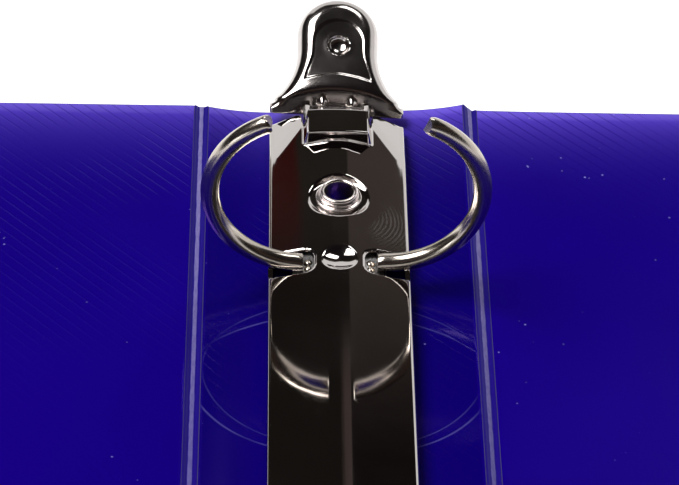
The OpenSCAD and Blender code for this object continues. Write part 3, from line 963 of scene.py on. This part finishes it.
def leaning(vertices, faces, centre):
    """A mesh turned a little to its right about a line along Y through centre (x, z)."""
    xz = turned(vertices[:, [0, 2]] - np.array(centre), -LEAN) + np.array(centre)
    return np.column_stack([xz[:, 0], vertices[:, 1], xz[:, 1]]), faces


def add_rings():
    for label, ring_y in zip(("top", "middle", "bottom"), RINGS_Y):
        for side, ridge in (("left", False), ("right", True)):
            mesh = ring_half_mesh(ring_y, ridge)
            stake = stake_mesh(ring_y)
            pivot_x = -PIVOT[0]
            if side == "right":
                mesh = mirrored(*mesh, axis=0)
                stake = mirrored(*stake, axis=0)
                pivot_x = PIVOT[0]
            mesh = leaning(*mesh, (pivot_x, PIVOT[2]))
            obj = make_object(f"{label}_ring_half_{side}", *mesh, [WIRE], sharp=38)
            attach(obj, f"{side}_blade")
            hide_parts(f"{label}_ring_{side}")
            tabs = make_object(f"{label}_stake_{side}", *stake, [WIRE], sharp=60)
            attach(tabs, f"{side}_blade")


add_rings()


# ---------------- levers

LEVER_T = 0.8
HEAD_R = 6.1
WING = 10.0
HANDLE_L = 15.6
FLARE_W = WING - HEAD_R
FLARE_L = 5.6
WING_END = 1.3                                # how far a wing's end reaches past the bend
RIM_R = 2.8
BEND = np.array([2.8, 3.1])                   # (y, z) from the pin
FOOT = np.array([0.9, -0.9])
RISER_L = float(np.linalg.norm(BEND - FOOT))
HANDLE_TILT = math.radians(24)
DROOP = 2.7
BEND_R = 0.9
TONGUE_TILT = math.radians(22.8)


def bell_points():
    """The bell's outline as a closed loop of (u, v) points."""
    right = [(WING - 0.5, -RISER_L), (WING - 0.1, -RISER_L + 0.5), (WING, -1.2),
             (WING, WING_END - 0.7), (WING - 0.2, WING_END - 0.2)]
    right += [(WING - FLARE_W * math.sin(a), WING_END + FLARE_L * (1 - math.cos(a)))
              for a in np.linspace(0.15, math.pi / 2, 16)]
    right += arc((0, HANDLE_L - HEAD_R), HEAD_R, 0, 90, 24)
    return np.array(right + [(-u, v) for u, v in reversed(right[:-1])])


BELL = bell_points()


def polygon_distance(u, v, polygon):
    """Distance to a closed polygon, positive inside it."""
    nearest = np.full(u.shape, 1e9)
    inside = np.zeros(u.shape, bool)
    for (x0, y0), (x1, y1) in zip(polygon, np.roll(polygon, -1, axis=0)):
        dx, dy = x1 - x0, y1 - y0
        length = max(dx * dx + dy * dy, 1e-12)
        t = np.clip(((u - x0) * dx + (v - y0) * dy) / length, 0, 1)
        nearest = np.minimum(nearest, np.hypot(u - x0 - t * dx, v - y0 - t * dy))
        if abs(dy) > 1e-12:
            crossing = (v >= min(y0, y1)) & (v < max(y0, y1))
            inside ^= crossing & (u < x0 + (v - y0) * dx / dy)
    return np.where(inside, nearest, -nearest)


def lever_outline(u, v):
    """Distance from the lever's outline, positive on the metal."""
    return polygon_distance(u, v, BELL)


PANEL_R = 3.75
PANEL_SIDE = [(PANEL_R + 1.15 * (1 - smooth(1.7, 6.0, v)), v) for v in (2.4, 3.2, 4.2, 5.2, 6.2)]
PANEL = np.array([(-4.9, 1.7), (0.0, 2.1), (4.9, 1.7), *PANEL_SIDE,
                  *arc((0, 7.4), PANEL_R, 5.73, 174.27, 18),
                  *[(-u, v) for u, v in reversed(PANEL_SIDE)]])
CUP_R = 1.6
CUP_V = 6.9


def lever_relief(u, v):
    """Height pressed into the lever's face: the sunk panel, the cup and the two gussets."""
    r = np.hypot(u, v - CUP_V)
    relief = -0.16 * smooth(-0.14, 0.14, polygon_distance(u, v, PANEL))
    relief += 0.05 * smooth(2.5, CUP_R, r)
    relief -= 0.95 * np.sqrt(np.clip(1 - (r / CUP_R) ** 2, 0, 1))
    for side in (-1, 1):
        ru = (u - side * 2.2) / 0.75
        rv = (v + 2.7) / np.where(v > -2.7, 1.5, 2.6)
        relief += 0.75 * smooth(1.15, 0.1, np.hypot(ru, rv))
    return relief


def lever_middle(u, v):
    """(y, z) from the pin of the lever's bent face, before its edges and reliefs."""
    droop = DROOP * (u / WING) ** 2 * smooth(8.0, 0.0, v)
    bend = BEND - droop[..., None] * (BEND - FOOT) / (BEND[1] - FOOT[1])
    handle = np.maximum(v, 0)[..., None] * [math.cos(HANDLE_TILT), math.sin(HANDLE_TILT)]
    return bend + handle + (FOOT - bend) * np.clip(-v / RISER_L, 0, 1)[..., None]


def lever_face(u, v):
    """The bent face, its bend rounded by averaging over a short stretch of v."""
    offsets = np.linspace(-BEND_R, BEND_R, 9)
    weights = np.cos(offsets / BEND_R * math.pi / 2) ** 2 + 0.05
    rounded = sum(w * lever_middle(u, v + o) for o, w in zip(offsets, weights)) / weights.sum()
    share = smooth(0.0, BEND_R, np.minimum(HANDLE_L - v, v + RISER_L))[..., None]
    yz = rounded * share + lever_middle(u, v) * (1 - share)
    return np.concatenate([u[..., None], yz], -1)


def lever_place(u, v):
    """Outer face of the top lever, in the frame's axes."""
    tiny = 1e-3
    face = lever_face(u, v)
    normal = np.cross(lever_face(u + tiny, v) - face, lever_face(u, v + tiny) - face)
    normal /= np.maximum(np.linalg.norm(normal, axis=-1, keepdims=True), 1e-12)
    edge = lever_outline(u, v)
    on_handle = smooth(-2.2, 0.0, v)
    rolled = round_over(edge, RIM_R) * on_handle + round_over(edge, 0.3) * (1 - on_handle)
    height = lever_relief(u, v) - rolled + LEVER_T / 2
    return face + [0, PIN[1], PIN[2]] + normal * height[..., None]


def tongue_mesh():
    """The forked tongue under the hood and the barrel on the pin."""
    half_w = 3.7
    prongs = [block((-half_w, -5.2, z), (half_w, -2.6, z + 0.5), 0.1) for z in (0.9, -1.4)]
    vertices, faces = joined(*prongs, block((-half_w, -3.3, -1.4), (half_w, -0.9, 1.4), 0.12))
    vertices[:, 1:] = turned(vertices[:, 1:], -TONGUE_TILT)
    wall = [(0.95, -half_w), (1.5, -half_w), (1.5, half_w), (0.95, half_w)]
    barrel, barrel_faces = revolved(wall, (0, 0), 32)
    neck = extruded_x([(0.3, -1.42), (0.95, -1.05), (1.6, 0.7), (1.0, 1.0), (0.4, 1.43)],
                      -half_w, half_w, 0.1)
    vertices, faces = joined((vertices, faces), (barrel[:, [2, 0, 1]], barrel_faces), neck)
    return vertices + [0, PIN[1], PIN[2]], faces


def lever_mesh():
    """The pressed lever."""
    us = lines((-WING, WING, 0.16))
    vs = lines((-RISER_L, HANDLE_L, 0.16))
    return pressed_sheet(us, vs, lever_outline, lever_place, LEVER_T)


def add_levers():
    """Both levers, each with its tongue. The bottom one is the top one's mirror image."""
    top = leaning(*joined(lever_mesh(), tongue_mesh()), (0.0, PIN[2]))
    for label, mesh in (("top", top), ("bottom", mirrored(*top, axis=1))):
        obj = make_object(f"{label}_lever_pressing", *mesh, [LEVER], sharp=50)
        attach(obj, f"{label}_lever")
        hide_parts(f"{label}_lever")


add_levers()


# ---------------- CAD nodes that stay

def repaint(node_name, material):
    """Gives a CAD node that stays its material."""
    mesh = frame["nodes"][node_name].data
    mesh.materials.clear()
    mesh.materials.append(material)
    mesh.shade_smooth()
    mesh.set_sharp_from_angle(angle=math.radians(35))


for kept in ("left_blade", "right_blade", "top_lever_pin", "bottom_lever_pin"):
    repaint(kept, BLADE)
for kept in ("top_rivet_sleeve", "bottom_rivet_sleeve"):
    repaint(kept, RIVET)


# ---------------- floor, world and lights

FLOOR_HALF = 9000.0

def add_floor():
    """A large square, just under the binder."""
    corners = [(x * FLOOR_HALF, y * FLOOR_HALF, -0.06) for x, y in ((-1, -1), (1, -1), (1, 1), (-1, 1))]
    floor = make_object("floor", corners, [(0, 1, 2, 3)], [floor_material()], sharp=None)


def set_world():
    """A dark studio over a white sweep, which ends low behind the binder."""
    world = bpy.data.worlds.new("studio")
    bpy.context.scene.world = world
    world.use_nodes = True
    tree = world.node_tree
    direction = tree.nodes.new("ShaderNodeTexCoord").outputs["Generated"]
    x, y, z = node(tree, "ShaderNodeSeparateXYZ", Vector=direction).outputs
    wide = mapped(tree, maths(tree, "ABSOLUTE", x), 0.04, 0.2, 0.595, 0.50)
    left = mapped(tree, x, -0.54, -0.47, 0.15, 1.0)
    top = times(tree, wide, left, mapped(tree, y, -0.3, 0.4, 0.25, 1.0))
    sweep = mapped(tree, minus(tree, z, top), -0.015, 0.015, 1.0, 0.0)

    wavy = plus(tree, x, times(tree, noise(tree, direction, 30.0), 0.02))
    far = mapped(tree, y, 0.742, 0.760)
    dark = mixed(tree, far, (0.012, 0.010, 0.009, 1), (0.022, 0.019, 0.016, 1))
    red = times(tree, mapped(tree, wavy, -0.276, -0.288), far)
    wall = mixed(tree, red, dark, (0.040, 0.008, 0.007, 1))
    brown = mapped(tree, y, 0.700, 0.765, 0.0, 1.0)
    brown = mixed(tree, brown, (0.008, 0.006, 0.006, 1), (0.062, 0.051, 0.046, 1))
    wall = mixed(tree, mapped(tree, x, 0.16, 0.22), wall, brown)
    strip = times(tree, mapped(tree, x, 0.02, 0.05), mapped(tree, x, 0.2, 0.16),
                  mapped(tree, y, 0.736, 0.720))
    wall = mixed(tree, strip, wall, (0.066, 0.050, 0.046, 1))

    studio = mixed(tree, mapped(tree, z, 0.70, 0.8), wall, (0.010, 0.007, 0.008, 1))
    studio = mixed(tree, mapped(tree, y, 0.1, -0.1), studio, (0.009, 0.006, 0.007, 1))
    behind = times(tree, mapped(tree, y, 0.1, -0.2), mapped(tree, z, 0.46, 0.54),
                   mapped(tree, z, 0.72, 0.6))
    studio = mixed(tree, behind, studio, (0.060, 0.042, 0.034, 1))
    feed(tree, tree.nodes["Background"], Strength=1.0,
         Color=mixed(tree, sweep, studio, (1.0, 1.0, 1.0, 1)))


def add_area(name, place, aim, size, power):
    """A softbox at place, in metres from the binder's middle, facing aim."""
    light = bpy.data.lights.new(name, "AREA")
    light.shape = "RECTANGLE"
    light.size, light.size_y = size
    light.energy = power
    obj = bpy.data.objects.new(name, light)
    obj.location = place
    obj.rotation_mode = "QUATERNION"
    obj.rotation_quaternion = (Vector(aim) - Vector(place)).to_track_quat("-Z", "Y")
    bpy.context.scene.collection.objects.link(obj)


add_floor()
set_world()
add_area("softbox_left", (-0.72, 0.28, 1.40), (0, 0.13, 0), (1.1, 0.8), 30)
add_area("softbox_back_right", (0.44, 1.02, 1.46), (0, 0.13, 0), (0.55, 0.46), 4.6)
add_area("strip_front_left", (-1.05, -0.88, 0.22), (0, 0.11, 0.02), (0.5, 0.22), 1.2)


# ---------------- camera

CAMERA_FROM_RING = Vector((-13.5, -334.15, 301.5))
CAMERA_YAW = math.radians(-2.29)
CAMERA_PITCH = math.radians(41.27)
CAMERA_ROLL = math.radians(2.47)
FOCAL_WIDTHS = 4.7025                        # focal length in picture widths


def add_camera():
    """The photo's camera: turned about the vertical, tipped down, then rolled."""
    data = bpy.data.cameras.new("camera")
    data.sensor_fit = "HORIZONTAL"
    data.sensor_width = 36.0
    data.lens = data.sensor_width * FOCAL_WIDTHS
    data.clip_start = 0.01
    data.clip_end = 50.0
    camera = bpy.data.objects.new("camera", data)
    place = (Vector((0, RING_Y, DECK)) + CAMERA_FROM_RING) * MM
    camera.matrix_world = (Matrix.Translation(place) @ Matrix.Rotation(CAMERA_YAW, 4, "Z")
                           @ Matrix.Rotation(math.pi / 2 - CAMERA_PITCH, 4, "X")
                           @ Matrix.Rotation(CAMERA_ROLL, 4, "Z"))
    bpy.context.scene.collection.objects.link(camera)
    bpy.context.scene.camera = camera


add_camera()
scene = bpy.context.scene
scene.view_settings.view_transform = "Standard"
scene.view_settings.look = "None"
